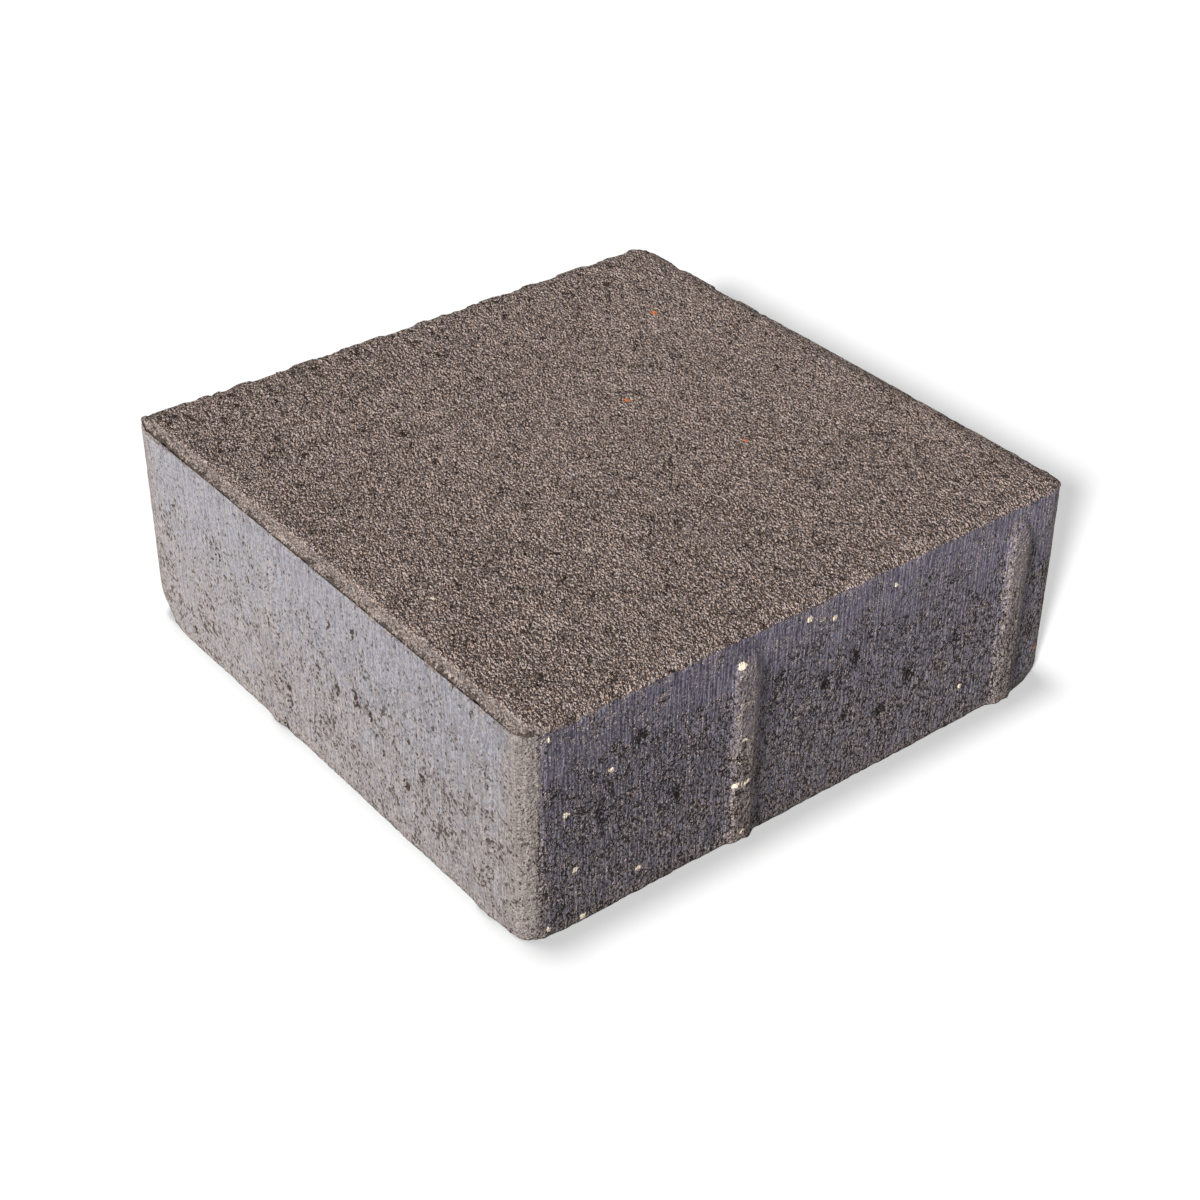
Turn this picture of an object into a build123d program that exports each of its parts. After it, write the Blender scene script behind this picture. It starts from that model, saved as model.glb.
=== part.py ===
"""Concrete paving stone: a square pressed block with a bevelled top edge and spacer ribs on its four sides.

Millimetres, +Z up. The origin is the middle of the bed face, which lies on the ground.
"""

import os
from math import atan2, degrees

from build123d import *

# The block between its ribs: 197 mm square, so that the stone measures 200 mm across the ribs.
side_length = 197.0
thickness = 70.0
corner_radius = 7.0
side_count = 4

# The shallow bevel that the press shoe leaves around the wearing face, and its slightly blunted outer arris.
bevel_width = 5.0
bevel_drop = 1.0
arris_radius = 0.8

# A spacer rib: a low, flat-topped ridge with sloping flanks and blunted crest edges.
rib_width = 11.0
rib_crest_width = 5.0
rib_projection = 1.5
rib_crest_radius = 1.0

# The rib rises from the bed face and fades into the wall below the wearing face.
rib_top_gap = 6.0
rib_run_out = 7.0

# Each side carries one rib beside its middle and one near its far corner. Every side repeats this a quarter turn
# further on, so the ribs of two neighbours stand beside each other in the joint and never meet.
middle_rib_offset = 25.0
corner_rib_setback = 19.5

half_side = side_length / 2
rib_root = rib_width
rib_straight_height = thickness - rib_top_gap - rib_run_out
run_out_angle = degrees(atan2(rib_projection, rib_run_out))

# Plan of all the ribs, each rooted inside the block as deep as it is wide.
with BuildSketch() as rib_plan:
    with PolarLocations(half_side, side_count):
        with Locations((0, -middle_rib_offset), (0, half_side - corner_rib_setback)):
            Polygon(
                (-rib_root, -rib_width / 2),
                (0, -rib_width / 2),
                (rib_projection, -rib_crest_width / 2),
                (rib_projection, rib_crest_width / 2),
                (0, rib_width / 2),
                (-rib_root, rib_width / 2),
                align=None,
            )

with BuildPart() as paving_stone:
    with BuildSketch():
        RectangleRounded(side_length, side_length, corner_radius)
    extrude(amount=thickness)

    # The wearing face keeps a flat middle, and the bevel falls away from it to the arris.
    wearing_face = paving_stone.faces().sort_by(Axis.Z)[-1]
    chamfer(wearing_face.edges(), length=bevel_width, length2=bevel_drop, reference=wearing_face)
    arris_edges = paving_stone.edges().filter_by_position(Axis.Z, thickness - bevel_drop, thickness - bevel_drop)
    fillet(arris_edges, radius=arris_radius)

    # The straight lower length of every rib, then its upper end, which narrows and sinks into the wall.
    extrude(rib_plan.sketch, amount=rib_straight_height)
    with BuildSketch(Plane.XY.offset(rib_straight_height)):
        add(rib_plan.sketch)
    extrude(amount=rib_run_out, taper=run_out_angle)

    # The long crest edges are blunted, as the mould wears them.
    crest_edges = (
        paving_stone.edges()
        .filter_by(Axis.Z)
        .filter_by(lambda edge: max(abs(edge.center().X), abs(edge.center().Y)) > half_side + rib_projection / 2)
    )
    fillet(crest_edges, radius=rib_crest_radius)

paving_stone.part.label = "paving_stone"

os.makedirs("parts", exist_ok=True)
export_step(paving_stone.part, "parts/paving_stone.step")
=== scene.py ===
import math

import bpy
import numpy as np
from mathutils import Matrix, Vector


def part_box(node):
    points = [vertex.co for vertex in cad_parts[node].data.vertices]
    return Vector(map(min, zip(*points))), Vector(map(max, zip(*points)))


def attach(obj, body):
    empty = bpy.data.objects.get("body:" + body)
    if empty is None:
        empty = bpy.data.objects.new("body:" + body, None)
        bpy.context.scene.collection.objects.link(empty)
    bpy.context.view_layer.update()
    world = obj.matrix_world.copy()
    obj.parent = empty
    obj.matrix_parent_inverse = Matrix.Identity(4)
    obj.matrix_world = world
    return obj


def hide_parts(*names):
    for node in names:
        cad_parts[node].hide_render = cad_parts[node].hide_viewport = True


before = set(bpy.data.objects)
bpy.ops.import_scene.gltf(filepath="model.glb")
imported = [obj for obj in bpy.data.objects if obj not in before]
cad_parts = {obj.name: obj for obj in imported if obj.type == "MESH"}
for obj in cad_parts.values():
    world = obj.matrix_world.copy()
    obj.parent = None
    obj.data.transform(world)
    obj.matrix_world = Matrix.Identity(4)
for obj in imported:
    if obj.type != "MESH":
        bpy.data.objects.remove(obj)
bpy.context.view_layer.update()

# The paving stone is one block of concrete, pressed damp in a steel mould and pushed out of it downwards.
# The press leaves a sandy wearing face inside a shallow bevel. The mould leaves upright walls with a smeared
# cement skin, drag marks and torn pits, and low ribs that keep the joint to the next stone open.
mm = 0.001
corner_radius = 7 * mm
bevel_width = 5 * mm
bevel_drop = 1 * mm
arris = 0.8 * mm
rib_projection = 1.5 * mm
rib_width = 11 * mm
rib_crest_width = 5 * mm
rib_run_out = 7 * mm
rib_top_gap = 6 * mm
middle_rib_offset = 25 * mm
corner_rib_setback = 19.5 * mm
sides = 4
lines_per_side = 200
wall_rows = 60

lowest, highest = (np.array(corner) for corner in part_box("paving_stone"))
half_side = highest[0] - rib_projection
height = highest[2]
wall_top = height - bevel_drop
rib_end = height - rib_top_gap
rib_places = np.array([-middle_rib_offset, half_side - corner_rib_setback])


def spread_lines(start, end, count, finer):
    """count + 1 places from start to end, closer together at the places in finer, each a (place, reach,
    gain): the places where a running sum of 1 + gain * exp(-(distance / reach)^2) passes equal steps."""
    samples_per_line = 20
    along = np.linspace(start, end, samples_per_line * count + 1)
    density = np.ones_like(along)
    for place, reach, gain in finer:
        density += gain * np.exp(-(((along - place) / reach) ** 2))
    passed = np.concatenate([[0], np.cumsum(density[1:] + density[:-1])])
    return np.interp(np.linspace(0, passed[-1], count + 1), passed, along)


def round_corners(x, y):
    """A square's plan points with its corners rounded: inside each corner's square of side R, with shares
    p and q of R from its inner corner, p becomes p * sqrt(1 - q^2 / 2) and q becomes
    q * sqrt(1 - p^2 / 2)."""
    inner = half_side - corner_radius
    p = np.clip((np.abs(x) - inner) / corner_radius, 0, 1)
    q = np.clip((np.abs(y) - inner) / corner_radius, 0, 1)
    rounded_x = np.where(p > 0, np.sign(x) * (inner + corner_radius * p * np.sqrt(1 - q * q / 2)), x)
    rounded_y = np.where(q > 0, np.sign(y) * (inner + corner_radius * q * np.sqrt(1 - p * p / 2)), y)
    return rounded_x, rounded_y


def rib_height(along, level):
    """How far a rib stands out: the lower of its crest and its sloping flanks, both sunk by the run-out,
    which grows evenly from nothing to the whole projection over the rib's upper end."""
    slope = rib_projection / ((rib_width - rib_crest_width) / 2)
    sunk = rib_projection * np.clip((level - rib_end + rib_run_out) / rib_run_out, 0, 1)
    off_middle = np.abs(along[..., None] - rib_places).min(axis=-1)
    flank = (rib_width / 2 - off_middle) * slope - sunk * np.sqrt(1 + slope * slope)
    return np.clip(np.minimum(rib_projection - sunk, flank), 0, None)


def lattice_noise(points, cell, seed):
    """Random heights from -1 to 1 on a lattice with the given cell, which may differ along x, y and z,
    blended by the smoothstep of each coordinate's fraction between the eight lattice points around a
    point."""
    scaled = points / np.asarray(cell)
    base = np.floor(scaled).astype(int)
    part = scaled - base
    part = part * part * (3 - 2 * part)
    base -= base.min(axis=0)
    heights = np.random.default_rng(seed).uniform(-1, 1, base.max(axis=0) + 2)
    total = np.zeros(len(points))
    for corner in np.ndindex(2, 2, 2):
        weight = np.where(corner, part, 1 - part).prod(axis=1)
        total += weight * heights[tuple((base + corner).T)]
    return total


def smooth_rise(value, start, end):
    """0 up to start, 1 from end, and a smoothstep between them."""
    share = np.clip((value - start) / (end - start), 0, 1)
    return share * share * (3 - 2 * share)


# Wearing face: a square grid whose outermost lines run along the arris, finer there and where ribs meet it.
edge_reach = 3 * mm
blunt_depth = arris / 4
edge_finer = [(-half_side, edge_reach, 3), (half_side, edge_reach, 3)]
rib_finer = [(sign * place, rib_width / 2, 0.8) for place in rib_places for sign in (-1, 1)]
lines = spread_lines(-half_side, half_side, lines_per_side, edge_finer + rib_finer)
grid_x, grid_y = np.meshgrid(lines, lines)
edge_distance = half_side - np.maximum(np.abs(grid_x), np.abs(grid_y))
bevel = bevel_drop * np.clip(1 - edge_distance / bevel_width, 0, 1)
blunted = blunt_depth * np.clip(1 - edge_distance / arris, 0, 1) ** 2
face_x, face_y = round_corners(grid_x, grid_y)
face = np.stack([face_x, face_y, height - bevel - blunted], axis=-1).reshape(-1, 3)

# Walls: the arris ring, counter-clockwise from the -X -Y corner, carried down to the bed face.
bed_reach = 2 * mm
index = np.arange(len(face)).reshape(grid_x.shape)
ring = np.concatenate([index[0, :-1], index[:-1, -1], index[-1, :0:-1], index[:0:-1, 0]])
ring_size = len(ring)
ring_along = np.tile(lines[:-1], sides)
ring_plan = face[ring, :2]
inner_plan = np.clip(ring_plan, corner_radius - half_side, half_side - corner_radius)
ring_normal = (ring_plan - inner_plan) / np.linalg.norm(ring_plan - inner_plan, axis=1, keepdims=True)
levels = spread_lines(wall_top, 0, wall_rows, [(wall_top, edge_reach, 2), (0, bed_reach, 1)])[1:]
along, level = np.meshgrid(ring_along, levels)
inset = blunt_depth * np.clip(1 - (wall_top - level) / arris, 0, 1) ** 2
stand_out = rib_height(along, level) - inset
wall_plan = ring_plan + stand_out[..., None] * ring_normal
wall = np.concatenate([wall_plan, level[..., None]], axis=-1).reshape(-1, 3)

# Bed face: the lowest ring shrunk towards the middle in steps, and closed at one point there.
bed_shares = np.array([0.985, 0.95, 0.87, 0.7, 0.45, 0.2])
lowest_ring = wall.reshape(wall_rows, -1, 3)[-1]
bed = (lowest_ring * bed_shares[:, None, None]).reshape(-1, 3)
ideal = np.concatenate([face, wall, bed, [[0, 0, 0]]])

ring_rows = np.concatenate([[ring], len(face) + np.arange(len(wall) + len(bed)).reshape(-1, ring_size)])
next_rows = np.roll(ring_rows, -1, axis=1)
face_corners = [index[:-1, :-1], index[:-1, 1:], index[1:, 1:], index[1:, :-1]]
face_quads = np.stack(face_corners, axis=-1).reshape(-1, 4)
wall_corners = [ring_rows[:-1], ring_rows[1:], next_rows[1:], next_rows[:-1]]
wall_quads = np.stack(wall_corners, axis=-1).reshape(-1, 4)
bed_middle = np.full(ring_size, len(ideal) - 1)
bed_triangles = np.stack([ring_rows[-1], bed_middle, next_rows[-1]], axis=-1)

# Where each point lies: how high, on the face or on a wall, which way is out there, how far in from the
# arris on the face, and on a wall which side it is, counted from the -Y one, and how far along it.
up = ideal[:, 2]
face_points = slice(0, len(face))
wall_points = slice(len(face), len(face) + len(wall))
on_face = np.zeros(len(ideal))
on_face[face_points] = 1
on_wall = np.zeros(len(ideal))
on_wall[wall_points] = 1
outward = np.zeros_like(ideal)
outward[face_points, 2] = 1
outward[ring] = np.column_stack([ring_normal, np.ones(ring_size)]) / math.sqrt(2)
outward[wall_points, :2] = np.tile(ring_normal, (wall_rows, 1))
from_edge = np.full(len(ideal), half_side)
from_edge[face_points] = edge_distance.ravel()
wall_side = np.full(len(ideal), -1)
wall_side[wall_points] = np.tile(np.repeat(np.arange(sides), lines_per_side), wall_rows)
wall_along = np.full(len(ideal), np.inf)
wall_along[wall_points] = along.ravel()

# Torn bands: the skin is rubbed off down to the brown mix at the upright corners, along the bed and on the
# ribs, by side. The +X wall is opened by the mould's drag, and the -X and +Y walls half as much. The same
# mark paints these walls' skin darker, partly as its own tone and partly as painted shade, and their gaps and
# pits near black as painted shade.
band_start = 0.5 * mm
bed_band_reach = 6 * mm
corner_band_reach = np.array([15, 9, 9, 9]) * mm
rib_rub = np.array([0.1, 0.55, 0.5, 0.5])
from_corner = half_side - np.abs(wall_along)
corner_band = on_wall * (1 - smooth_rise(from_corner, band_start, corner_band_reach[wall_side]))
bed_band = on_wall * (1 - smooth_rise(up, band_start, bed_band_reach))
rib_share = np.zeros(len(ideal))
rib_share[wall_points] = rib_height(along, level).ravel() / rib_projection
rubbed_rib = rib_rub[wall_side] * smooth_rise(rib_share, 0.05, 0.6)
torn = np.clip(0.8 * corner_band + 0.5 * bed_band + rubbed_rib, 0, 1)
opened_and_shaded = on_wall * smooth_rise(outward[:, 0], 0.86, 0.96)
opened_and_shaded += 0.5 * on_wall * smooth_rise(np.maximum(-outward[:, 0], outward[:, 1]), 0.5, 0.96)

# Pits: ragged upright holes where a coarse grain was pulled out with the mould, as (along, up, radius) in
# mm. The -Y and +X walls have theirs at fixed places, and the other two walls at random ones.
light_wall_pits = [
    (20.1, 35.9, 1.0), (21.5, 33.0, 0.8), (27.1, 33.3, 1.1), (43.9, 20.4, 1.1), (52.0, 27.0, 1.0),
    (8.1, 53.3, 0.9), (-16.5, 16.7, 0.8), (-16.5, 11.8, 0.8), (0.7, 34.2, 0.7), (10.5, 32.9, 0.9),
    (20.8, 58.3, 0.6), (-55.0, 47.0, 0.8), (-52.5, 44.0, 0.8), (75.5, 38.0, 0.9), (-72.7, 6.0, 0.8),
    (-20.4, 1.9, 0.9), (33.0, 24.5, 0.7), (46.0, 36.0, 0.6),
]
dark_wall_pits = [
    (-61.0, 53.0, 1.0), (4.6, 39.9, 1.4), (15.6, 44.5, 1.2), (37.9, 28.1, 1.4), (27.1, 19.3, 1.2),
    (13.1, 23.8, 1.1), (-74.0, 33.0, 0.9), (-48.0, 27.0, 1.0), (56.0, 33.0, 1.1), (-12.0, 50.0, 0.9),
]
pit_draw = np.random.default_rng(11)
random_pits = 14
lowest_pit = (-95, 5, 0.7)
highest_pit = (95, 60, 1.4)
hidden_pits = [pit_draw.uniform(lowest_pit, highest_pit, (random_pits, 3)) for side in range(2)]
pit_squash = 0.55
pit_depth = np.array([1.1, 0.5, 1.1, 1.1])
far_off = 5.0


def nearest_spot(u, v, spots, squash=1.0):
    """For each point its offset along and up from the middle of the spot whose rim is nearest, that spot's
    radius, all in mm, and its index. A spot's rim lies where hypot(offset along, squash * offset up) is its
    radius."""
    middles = np.array(spots)
    offset_u = u[:, None] / mm - middles[:, 0]
    offset_v = v[:, None] / mm - middles[:, 1]
    nearest = (np.hypot(offset_u, squash * offset_v) - middles[:, 2]).argmin(axis=1)
    rows = np.arange(len(u))
    return np.stack([offset_u[rows, nearest], offset_v[rows, nearest], middles[nearest, 2]], axis=1), nearest


pit = np.tile([far_off, far_off, 0.0], (len(ideal), 1))
for side, spots in enumerate([light_wall_pits, dark_wall_pits, *hidden_pits]):
    here = wall_side == side
    pit[here] = nearest_spot(wall_along[here], up[here], spots, pit_squash)[0]
inside_rim = pit[:, 2] - np.hypot(pit[:, 0], pit_squash * pit[:, 1])
pit_bowl = pit_depth[wall_side] * smooth_rise(inside_rim, -0.6, 0.8)

# Lip line: a ragged groove that the gap round the press shoe leaves along the arris on the -Y side, painted
# dark as the shadow behind a raised lip.
# Its mark is the distance from the arris in mm, and far off on the other sides.
lip_band = 8 * mm
lip_width = 1.2
lip_side = on_face * smooth_rise(-ideal[:, 1], half_side - lip_band, half_side - bevel_width)
lip = np.minimum(from_edge / mm + far_off * (1 - lip_side), far_off)
lip_reach = lip_width + 0.5 * lattice_noise(ideal, 5 * mm, 31) + 0.4 * lattice_noise(ideal, 2 * mm, 32)
groove = 1 - smooth_rise(lip, 0.6 * lip_reach, 1.4 * lip_reach)

# Relief: depths in mm, cut inwards from the moulded shape, so that the stone stays within its size. The
# edge by the bed has crumbled, and the feet of the ribs on the -Y side are worn low.
grain = lattice_noise(ideal, 1.3 * mm, 41)
coarse = lattice_noise(ideal, 3.2 * mm, 42)
sag = lattice_noise(ideal, 24 * mm, 43)
drag = lattice_noise(ideal, (1.4 * mm, 1.4 * mm, 11 * mm), 44)
face_relief = on_face * (0.10 * grain + 0.08 * coarse + 0.12 * sag - 0.30 - 0.35 * groove)
rough = torn * (0.12 + 0.10 * grain + 0.08 * coarse)
wall_relief = on_wall * (0.05 * drag + 0.10 * sag - 0.15 - rough - pit_bowl)
crumble = np.clip(0.3 + 0.5 * lattice_noise(ideal, 3 * mm, 45) + 0.4 * grain, 0, None)
edge_loss = 0.4 * on_wall * crumble * (1 - smooth_rise(up, 0, bed_reach))
foot_loss = (wall_side == 0) * rib_share * (1 - smooth_rise(up, 3 * mm, 14 * mm))
shaped = ideal + outward * mm * (face_relief + wall_relief - edge_loss - foot_loss)[:, None]

# Arris: crumbs are missing from it all round, on the face and on the walls alike, most by the +X -Y corner
# and on the -X side. The broken places show the brown mix. A small burr stands at the -X -Y corner.
crumb_reach = 2.6 * mm
inner_half = half_side - corner_radius
from_inner = ideal[:, :2] - np.clip(ideal[:, :2], -inner_half, inner_half)
plan_way = from_inner / np.maximum(np.linalg.norm(from_inner, axis=1), mm)[:, None]
edge_way = np.column_stack([plan_way, np.ones(len(ideal))])
from_arris = np.where(on_wall == 1, wall_top - up, from_edge)
from_front = np.hypot(ideal[:, 0] - half_side, ideal[:, 1] + half_side)
crumbs = lattice_noise(ideal, 2.4 * mm, 46) + 0.9 * lattice_noise(ideal, 7 * mm, 47) + 0.5 * grain
crumbling = 0.45 + 0.45 * smooth_rise(-ideal[:, 0], 0, half_side)
crumbling += 0.2 * smooth_rise(-ideal[:, 1], 0, half_side) - 0.25 * smooth_rise(ideal[:, 1], 0, half_side)
crumbling += 0.45 * (1 - smooth_rise(from_front, 10 * mm, 45 * mm))
arris_loss = crumbling * np.clip(0.1 + crumbs, 0, 1) * (1 - smooth_rise(from_arris, 0, crumb_reach))
shaped -= edge_way * mm * arris_loss[:, None]
torn = np.maximum(torn, on_wall * smooth_rise(arris_loss, 0.15, 0.45))
burr_height = 1.4 * mm
burr_reach = 2.2 * mm
burr_place = [2.4 * mm - half_side, 2.4 * mm - half_side, wall_top]
from_burr = np.linalg.norm(ideal - burr_place, axis=1)
shaped[:, 2] += on_face * burr_height * np.exp(-((from_burr / burr_reach) ** 2))

# Worn bed corners: the foot of a corner slumps when the mould is lifted, most at the -X -Y corner and the
# +X +Y corner.
corner_signs = np.array([(-1, -1), (1, -1), (1, 1), (-1, 1)])
corner_wear = np.array([4.0, 1.0, 3.0, 1.5]) * mm
wear_height = np.array([12, 5, 6, 6]) * mm
wear_start = 2 * mm
wear_end = 17 * mm
for signs, wear, reach in zip(corner_signs, corner_wear, wear_height):
    from_foot = np.linalg.norm(ideal[:, :2] - signs * half_side, axis=1)
    fading_up = 1 - smooth_rise(up, -reach / 2, reach)
    slump = wear * fading_up * (1 - smooth_rise(from_foot, wear_start, wear_end))
    shaped[:, :2] -= signs / math.sqrt(2) * slump[:, None]
shaped = np.clip(shaped, lowest, highest)

# Pale grains: quartz, limestone and brick grains that break through the skin, as (along, up or across,
# radius, tone) in mm, where tone 0 is cream and 1 is orange.
face_grains = [
    (-55.5, 68.9, 1.2, 1), (-16.4, 26.3, 1.0, 1), (23.8, 39.1, 0.7, 1), (41.5, -34.1, 1.0, 0),
    (-36.5, -5.5, 0.8, 0), (34.7, -81.5, 0.8, 0),
]
dark_wall_grains = [
    (-27.6, 60.4, 1.2, 0), (-26.0, 36.0, 0.7, 0), (-28.4, 20.9, 1.0, 0), (-24.6, 20.4, 0.9, 0),
    (-25.4, 3.3, 0.7, 0), (-91.0, 66.4, 0.7, 0), (-70.6, 46.6, 0.8, 0), (-85.2, 39.1, 0.8, 0),
    (-82.2, 19.2, 0.9, 0), (-61.1, 8.1, 0.7, 0), (-79.9, 1.6, 0.9, 0), (-91.5, 3.2, 0.9, 0),
    (-3.4, 64.7, 0.9, 0), (6.3, 61.4, 0.8, 0), (28.8, 62.6, 0.6, 0), (60.4, 13.0, 0.8, 0),
    (93.3, 13.1, 0.8, 1),
]
fleck = np.tile([far_off, far_off, 0.0], (len(ideal), 1))
fleck_tone = np.zeros(len(ideal))
top_points = on_face == 1
fleck[top_points], nearest = nearest_spot(ideal[top_points, 0], ideal[top_points, 1], face_grains)
fleck_tone[top_points] = np.array(face_grains)[nearest, 3]
dark_wall = wall_side == 1
fleck[dark_wall], nearest = nearest_spot(wall_along[dark_wall], up[dark_wall], dark_wall_grains)
fleck_tone[dark_wall] = np.array(dark_wall_grains)[nearest, 3]

mesh = bpy.data.meshes.new("paving_stone_skin")
mesh.from_pydata(shaped.tolist(), [], face_quads.tolist() + wall_quads.tolist() + bed_triangles.tolist())
mesh.polygons.foreach_set("use_smooth", np.ones(len(mesh.polygons), dtype=bool))
marks = {"wall": on_wall, "torn": torn, "opened_and_shaded": opened_and_shaded, "lip": lip, "fleck_tone": fleck_tone}
for name, values in marks.items():
    mesh.attributes.new(name, "FLOAT", "POINT").data.foreach_set("value", values.astype(np.float32))
for name, values in {"pit": pit, "fleck": fleck}.items():
    offsets = mesh.attributes.new(name, "FLOAT_VECTOR", "POINT")
    offsets.data.foreach_set("vector", values.astype(np.float32).ravel())
stone = bpy.data.objects.new("paving_stone_skin", mesh)
bpy.context.collection.objects.link(stone)


class Wire:
    """One socket of a node tree. Sums, differences and products of wires add the Math nodes they mean."""

    def __init__(self, tree, socket=None):
        self.tree = tree
        self.socket = socket

    def node(self, kind, settings=None, sockets=None, out=0):
        """Adds a node of this kind, sets its settings, fills its sockets with values or wires, and gives
        one of its outputs."""
        made = self.tree.nodes.new(kind)
        for name, value in (settings or {}).items():
            setattr(made, name, value)
        for name, value in (sockets or {}).items():
            if isinstance(value, Wire):
                self.tree.links.new(value.socket, made.inputs[name])
            else:
                made.inputs[name].default_value = value
        return Wire(self.tree, made.outputs[out])

    def math(self, operation, *values):
        """A Math node with this operation on these values or wires."""
        return self.node("ShaderNodeMath", {"operation": operation}, dict(enumerate(values)))

    def __add__(self, other):
        return self.math("ADD", self, other)

    def __radd__(self, other):
        return self.math("ADD", other, self)

    def __sub__(self, other):
        return self.math("SUBTRACT", self, other)

    def __rsub__(self, other):
        return self.math("SUBTRACT", other, self)

    def __mul__(self, other):
        return self.math("MULTIPLY", self, other)

    def __rmul__(self, other):
        return self.math("MULTIPLY", other, self)

    def larger(self, other):
        """The larger of this wire and the other."""
        return self.math("MAXIMUM", self, other)

    def rise(self, start, end):
        """0 up to start and 1 from end, with a smoothstep between them."""
        settings = {"interpolation_type": "SMOOTHSTEP"}
        return self.node("ShaderNodeMapRange", settings, {"Value": self, "From Min": start, "From Max": end})

    def mix(self, first, second):
        """The first colour where this wire is 0 and the second where it is 1."""
        return self.node("ShaderNodeMix", {"data_type": "RGBA"}, {0: self, 6: first, 7: second}, out=2)


def colour(red, green, blue):
    """An opaque colour as a socket takes it."""
    return (red, green, blue, 1)


# Concrete: a damp-pressed dark grey mix. The wearing face shows brownish sand grains with pores between them,
# painted dark as the shade inside them; the walls show bluish cement skin with upright drag marks, and rough
# brown mix where the skin is torn.
concrete = bpy.data.materials.new("pressed_concrete")
concrete.use_nodes = True
shader = concrete.node_tree.nodes["Principled BSDF"]
board = Wire(concrete.node_tree)
place = board.node("ShaderNodeTexCoord", out="Object")
wall_mask, torn_mask, opened_and_shaded_mask, lip_gap, fleck_hue = (
    board.node("ShaderNodeAttribute", {"attribute_name": name}, out="Fac") for name in marks
)


def rim_gap(name, squash=1.0):
    """Distance in mm from the rim of the nearest spot of this mark, negative inside it: the hypotenuse of the
    offset along and squash times the offset up, less the radius."""
    offset = board.node("ShaderNodeAttribute", {"attribute_name": name}, out="Vector")
    flat = board.node("ShaderNodeVectorMath", {"operation": "MULTIPLY"}, {0: offset, 1: (1, squash, 0)})
    reach = board.node("ShaderNodeVectorMath", {"operation": "LENGTH"}, {0: flat}, out="Value")
    return reach - board.node("ShaderNodeSeparateXYZ", {}, {0: offset}, out="Z")


def speckle(size, detail=2.0, roughness=0.5, at=place):
    """Noise from 0 to 1 with features of about this size, to which each step of detail adds one half as
    large, weakened by the roughness."""
    sockets = {"Vector": at, "Scale": 1 / size, "Detail": detail, "Roughness": roughness}
    return board.node("ShaderNodeTexNoise", {}, sockets)


def cells(size, at=place):
    """Cells of about this size: the distance to a cell's middle in cells, and two random numbers for each
    cell."""
    sockets = {"Vector": at, "Scale": 1 / size}
    distance = board.node("ShaderNodeTexVoronoi", {}, sockets, out="Distance")
    random = board.node("ShaderNodeTexVoronoi", {}, sockets, out="Color")
    parts = (board.node("ShaderNodeSeparateColor", {}, {0: random}, out) for out in ("Red", "Green"))
    return distance, *parts


def stretched(factor):
    """The place with heights shrunk by this factor, so that what is made from it is drawn out upright."""
    return board.node("ShaderNodeVectorMath", {"operation": "MULTIPLY"}, {0: place, 1: (1, 1, factor)})


# Sand grains stand up from the face. Their pattern is drawn out along the diagonal to the -X +Y corner, so
# that it looks as round as standing grains do when it is seen slantwise along that diagonal.
drawn_way = (-0.78, 0.62, 0)
drawn_share = 0.42
way_sockets = {0: place, 1: drawn_way}
drawn_far = board.node("ShaderNodeVectorMath", {"operation": "DOT_PRODUCT"}, way_sockets, out="Value")
drawn_sockets = {0: drawn_way, "Scale": drawn_share * drawn_far}
drawn_back = board.node("ShaderNodeVectorMath", {"operation": "SCALE"}, drawn_sockets)
drawn_place = board.node("ShaderNodeVectorMath", {"operation": "SUBTRACT"}, {0: place, 1: drawn_back})
grain_far, grain_pick, grain_hue = cells(0.30 * mm, drawn_place)
sand_grains = speckle(0.72 * mm, 1.2, 0.55, drawn_place)
coarse_grains = speckle(1.5 * mm, 1.5, 0.55, drawn_place)

# Unevenness that the face and the walls share, from single bumps to a drift over the whole stone.
bumps = speckle(0.7 * mm, 0.5)
clump = speckle(1.2 * mm, 1.5)
patch = speckle(6 * mm, 3.0, 0.6)
broad = speckle(35 * mm)
place_x, place_y, level_up = (board.node("ShaderNodeSeparateXYZ", {}, {0: place}, out) for out in "XYZ")
low = 1 - level_up.rise(15 * mm, 62 * mm)
near_top = level_up.rise(48 * mm, 66 * mm)

# Sand of the wearing face: brown and grey grains with open pores between clumps of them, harsher towards
# the -X edge, pressed smooth beside the lip, and a little paler towards the -X +Y corner.
# The pores are painted near black as the shade inside them.
pore_shade_colour = colour(0.022, 0.015, 0.012)
pressed_colour = colour(0.20, 0.17, 0.155)
harsh = (60 * mm * (broad - 0.5) - place_x).rise(25 * mm, 85 * mm)
pressed_edge = 1 - lip_gap.rise(3.6, 4.9)
pore_field = speckle(0.7 * mm, 1.0, 0.5, drawn_place) + 0.2 * (patch - 0.5)
deep_field = speckle(1.5 * mm, 2.5, 0.65, drawn_place) + 0.3 * (patch - 0.5) - 0.022 * harsh
open_pores = (0.7 - 0.7 * pore_field.rise(0.28, 0.36)).larger(1 - deep_field.rise(0.335, 0.355))
face_pores = open_pores * (1 - 0.6 * pressed_edge)
sand_height = (1.6 - 0.9 * pressed_edge) * sand_grains + 2.0 * harsh * coarse_grains - 0.6 * face_pores
# Each grain is painted a little darker towards its rim, as shade between the grains.
sand_tone = 0.9 * grain_pick + 0.2 * patch + 0.15 * broad - 0.3 * grain_far + 0.3 * drawn_far - 0.135
lit_sand = sand_tone.rise(0.19, 0.64)
brown_sand = lit_sand.mix(colour(0.075, 0.053, 0.043), colour(0.425, 0.320, 0.266))
grey_sand = lit_sand.mix(colour(0.070, 0.058, 0.058), colour(0.395, 0.337, 0.330))
sand = grain_hue.rise(0.62, 0.7).mix(brown_sand, grey_sand)
face_sand = (0.5 * pressed_edge).mix(sand, pressed_colour)
face_colour = (0.92 * face_pores).mix(face_sand, pore_shade_colour)

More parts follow.
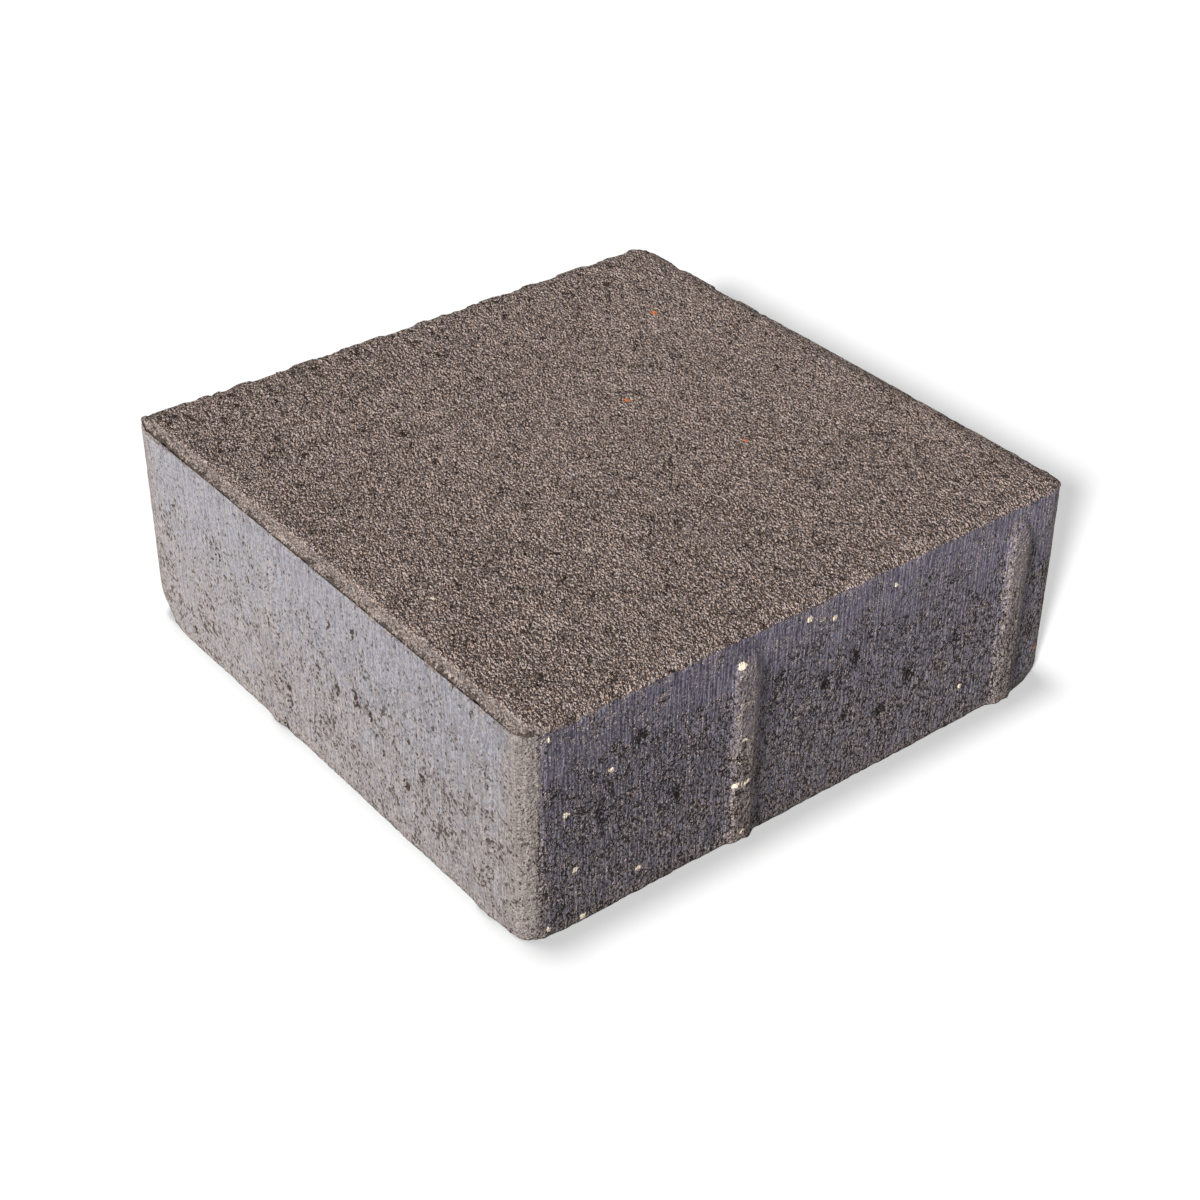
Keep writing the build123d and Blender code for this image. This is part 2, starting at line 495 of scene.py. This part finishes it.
# Skin of the walls: bluish cement with upright drag marks, beige where it is thin. It is paler towards the
# -X end of the -Y and +Y walls and the +Y end of the +X and -X walls.
_, speck_pick, speck_hue = cells(0.5 * mm, stretched(0.7))
streak = speckle(0.8 * mm, 1.5, 0.5, stretched(0.08))
paler = 0.7 * place_y * opened_and_shaded_mask - 0.8 * place_x * (1 - opened_and_shaded_mask)
lit_skin = (0.8 * streak + 0.4 * speck_pick + paler).rise(0.2, 1.0)
light_skin = lit_skin.mix(colour(0.100, 0.097, 0.111), colour(0.235, 0.228, 0.251))
# On the opened walls the skin is darker, partly as its own tone and partly as painted shade.
dark_skin_and_shade = lit_skin.mix(colour(0.036, 0.032, 0.046), colour(0.205, 0.184, 0.228))
beige_skin = lit_skin.mix(colour(0.100, 0.084, 0.074), colour(0.262, 0.225, 0.201))
beige_field = 0.7 * speck_hue + 0.35 * low + 0.8 * patch + 0.8 * torn_mask - 0.35 * opened_and_shaded_mask - 0.3
beige_share = 0.7 * beige_field.rise(0.3, 0.9)
skin = beige_share.mix(opened_and_shaded_mask.mix(light_skin, dark_skin_and_shade), beige_skin)

# Open places in the skin: ragged gaps between its islands, single specks, and on the opened walls thin
# creases, which are widest round the pits.
# The gaps are painted dark: dark brown on the -Y wall, partly as the mix's own colour and partly as painted
# shade, and near black on the opened walls as painted shade.
gap_shade_colour = opened_and_shaded_mask.mix(colour(0.042, 0.032, 0.026), colour(0.009, 0.007, 0.007))
island = speckle(1.05 * mm, 2.5, 0.6, stretched(0.75))
openness = 0.325 + 0.04 * low + 0.01 * opened_and_shaded_mask + 0.5 * (patch - 0.5) - 0.05 * torn_mask - 0.03 * near_top
gaps = 1 - island.rise(openness - 0.04, openness - 0.01)
slopes = 1 - island.rise(openness - 0.05, openness + 0.06)
rims = 1 - island.rise(openness, openness + 0.12)
specks = 1 - (speck_hue - 0.025 * low - 0.1 * (patch - 0.45)).rise(0.008, 0.018)
pit_gap = rim_gap("pit", pit_squash)
near_pit = opened_and_shaded_mask * (1 - pit_gap.rise(0.0, 2.0))
ragged = (0.5 * low + patch + 0.5 * clump - 0.6 * torn_mask - 0.2 * near_top).rise(0.63, 0.88)
creased = opened_and_shaded_mask * ragged.larger(near_pit)
crease_line = board.math("ABSOLUTE", speckle(1.7 * mm, 2.5, 0.55, stretched(0.65)) - 0.5)
crease_reach = 0.020 + 0.03 * near_pit
creases = creased * (1 - crease_line.rise(crease_reach, crease_reach + 0.012))
crease_rims = 0.6 * creased * (1 - crease_line.rise(crease_reach + 0.012, crease_reach + 0.06))
open_places = gaps.larger(creases).larger(specks)

# Walls as a whole: sand shows where the skin is worn off and as single grains at the rims of its open places.
worn = (torn_mask + 0.9 * clump - 0.45).rise(0.2, 1.0)
rim_grains = ((0.25 + 0.75 * opened_and_shaded_mask) * rims).larger(crease_rims) * grain_pick.rise(0.62, 0.70)
loose_grains = opened_and_shaded_mask * (grain_pick + 0.7 * (patch - 0.5)).rise(0.92, 0.96)
shown_sand = ((0.35 + 0.3 * opened_and_shaded_mask) * worn).larger(rim_grains.larger(loose_grains))
wall_colour = (0.95 * open_places).mix(shown_sand.mix(skin, sand), gap_shade_colour)
drag_height = (0.35 + 0.45 * opened_and_shaded_mask) * (1 - torn_mask) * streak
grain_height = 0.3 * bumps + 0.5 * worn * sand_height
open_depth = (0.55 + 0.25 * opened_and_shaded_mask) * slopes.larger(creases)
wall_height = drag_height + grain_height - open_depth

# The stone's colour and fine relief: face and walls, and over them the lip line, pits and pale grains.
# The lip line is painted dark as the shadow behind a raised lip.
lip_shadow_colour = colour(0.035, 0.025, 0.02)
# The pits are painted dark as the shade inside them, near black on the opened walls.
pit_shade_colour = opened_and_shaded_mask.mix(colour(0.04, 0.029, 0.023), colour(0.018, 0.013, 0.012))
cream = wall_mask.mix(colour(0.50, 0.42, 0.34), colour(0.80, 0.68, 0.52))
orange = colour(0.55, 0.17, 0.06)
body = wall_mask.rise(0.2, 0.8).mix(face_colour, wall_colour)
lip_shade = 1 - (lip_gap + 3 * (clump - 0.5) + 4 * (bumps - 0.5) + 4 * (patch - 0.5)).rise(1.0, 1.5)
lipped = (0.85 * lip_shade).mix(body, lip_shadow_colour)
hollow = 1 - (pit_gap + 0.5 * opened_and_shaded_mask + 4 * (island - 0.5) + 4 * (clump - 0.5)).rise(-0.2, 0.1)
pitted = hollow.mix(lipped, pit_shade_colour)
pale_grain = 1 - (rim_gap("fleck") + 2.4 * (clump - 0.5)).rise(-0.1, 0.15)
finished = pale_grain.mix(pitted, fleck_hue.mix(cream, orange))
relief_height = sand_height + wall_mask * (wall_height - sand_height)
roughness = 0.95 - 0.3 * wall_mask * (1 - worn)
bump = board.node("ShaderNodeBump", {}, {"Strength": 1.0, "Distance": 1 * mm, "Height": relief_height})
for name, wire in {"Base Color": finished, "Roughness": roughness, "Normal": bump}.items():
    concrete.node_tree.links.new(wire.socket, shader.inputs[name])
shader.inputs["Specular IOR Level"].default_value = 0.06
mesh.materials.append(concrete)
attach(stone, "root")
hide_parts("paving_stone")

# Floor: a wide sheet of pale paper that the stone lies on. To the camera and to reflections it is bright
# paper with a soft shadow, and the light that it throws back on the stone is that of a greyer sheet.
floor_half = 4.0
paper_glow = 0.15
floor_corners = [(x * floor_half, y * floor_half, 0) for x, y in corner_signs.tolist()]
floor_mesh = bpy.data.meshes.new("floor")
floor_mesh.from_pydata(floor_corners, [], [(0, 1, 2, 3)])
floor = bpy.data.objects.new("floor", floor_mesh)
bpy.context.collection.objects.link(floor)

paper = bpy.data.materials.new("paper")
paper.use_nodes = True
paper.node_tree.nodes.remove(paper.node_tree.nodes["Principled BSDF"])
sheet = Wire(paper.node_tree)


def seen_directly(wire):
    """1 for rays from the camera, from a reflection or through glass, and 0 for light that is passed on."""
    seen = wire.node("ShaderNodeLightPath", out="Is Camera Ray")
    for output in ("Is Glossy Ray", "Is Transmission Ray"):
        seen = seen.larger(wire.node("ShaderNodeLightPath", out=output))
    return seen


lit_paper = sheet.node("ShaderNodeBsdfDiffuse", {}, {"Color": colour(0.2, 0.2, 0.2)})
glow = sheet.node("ShaderNodeEmission", {}, {"Color": colour(1, 1, 1), "Strength": paper_glow})
bright_paper = sheet.node("ShaderNodeAddShader", {}, {0: lit_paper, 1: glow})
grey_paper = sheet.node("ShaderNodeBsdfDiffuse", {}, {"Color": colour(0.11, 0.11, 0.11)})
shown = sheet.node("ShaderNodeMixShader", {}, {0: seen_directly(sheet), 1: grey_paper, 2: bright_paper})
paper.node_tree.links.new(shown.socket, paper.node_tree.nodes["Material Output"].inputs["Surface"])
floor_mesh.materials.append(paper)

# Light: a low broad key from the -Y side that grazes the +X wall, a weak fill from beyond the +X +Y corner,
# a faint even sky, and two lamps for the floor alone: a steep one with a narrow soft shadow along the +X
# wall, and a lower one with a long shadow beyond the +Y and -X walls.
sky_strength = 0.16


def add_sun(name, thing, azimuth, elevation, strength, spread):
    """A sun that stands at this azimuth, counted from -Y towards +X, and this elevation, with this spread,
    all in degrees. Strength 1 shows a white face square to it as white. It lights one thing alone, with all
    the shadows that fall on that thing."""
    lamp = bpy.data.lights.new(name, "SUN")
    lamp.energy = strength * math.pi
    lamp.angle = math.radians(spread)
    sun = bpy.data.objects.new(name, lamp)
    sun.rotation_euler = (math.radians(90 - elevation), 0, math.radians(azimuth))
    bpy.context.collection.objects.link(sun)
    lit = bpy.data.collections.new(name + "_lights")
    lit.objects.link(thing)
    sun.light_linking.receiver_collection = lit


add_sun("key", stone, azimuth=12, elevation=22, strength=2.3, spread=14)
add_sun("fill", stone, azimuth=135, elevation=28, strength=0.3, spread=40)
add_sun("overhead", floor, azimuth=-80, elevation=83, strength=2.1, spread=10)
add_sun("behind_camera", floor, azimuth=33.2, elevation=30.4, strength=4.15, spread=5)
world = bpy.data.worlds.new("studio")
bpy.context.scene.world = world
world.use_nodes = True
sky_light = sky_strength + (1 - sky_strength) * seen_directly(Wire(world.node_tree))
backdrop = world.node_tree.nodes["Background"]
world.node_tree.links.new(sky_light.socket, backdrop.inputs["Strength"])
backdrop.inputs["Color"].default_value = colour(1, 1, 1)

# Camera: where the photograph's own stood, as near as a lens without shift allows, aimed a little in front
# of the stone's middle and rolled a little.
camera_azimuth = math.radians(51.43)
camera_elevation = math.radians(34.78)
camera_roll = math.radians(0.58)
camera_distance = 654.7 * mm
photo_pixels = 1200
focal_pixels = 2235.9
aim = np.array([23.54 * mm, -15.39 * mm, height / 2])
turn = Matrix.Rotation(camera_azimuth, 3, "Z")
tilt = Matrix.Rotation(math.pi / 2 - camera_elevation, 3, "X")
roll = Matrix.Rotation(camera_roll, 3, "Z")
towards_camera = np.array((turn @ tilt).col[2])
lens = bpy.data.cameras.new("camera")
lens.sensor_width = 36
lens.lens = lens.sensor_width * focal_pixels / photo_pixels
lens.clip_start = 0.01
camera = bpy.data.objects.new("camera", lens)
camera.location = aim + camera_distance * towards_camera
camera.rotation_euler = (turn @ tilt @ roll).to_euler()
bpy.context.collection.objects.link(camera)
bpy.context.scene.camera = camera
bpy.context.scene.view_settings.view_transform = "Standard"
